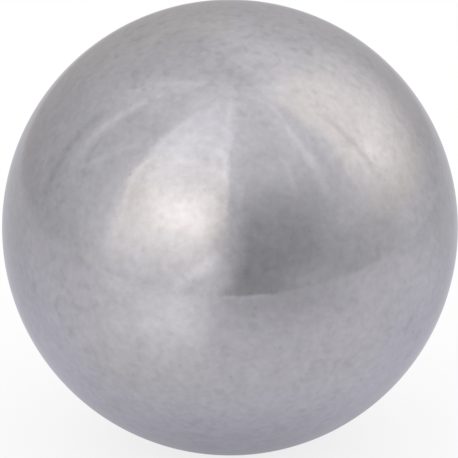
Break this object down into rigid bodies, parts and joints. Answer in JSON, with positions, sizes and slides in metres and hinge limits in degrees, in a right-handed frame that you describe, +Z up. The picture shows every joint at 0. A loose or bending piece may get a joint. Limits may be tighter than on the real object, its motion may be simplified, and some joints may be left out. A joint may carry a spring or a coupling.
{
  "type": "steel ball",
  "caption": "Solid steel ball, ground round and lapped to a satin polish, for a socket, cup, magnet or ring to hold.",
  "frame": {"origin": "the ball's centre", "axes": "+Z up; every line through the centre is an axis of symmetry, so X and Y are any two level directions"},
  "size_m": [0.0508, 0.0508, 0.0508],
  "materials": {
    "polished_steel": "polished"
  },
  "bodies": {
    "root": {"ball": "polished_steel"}
  },
  "joints": []
}
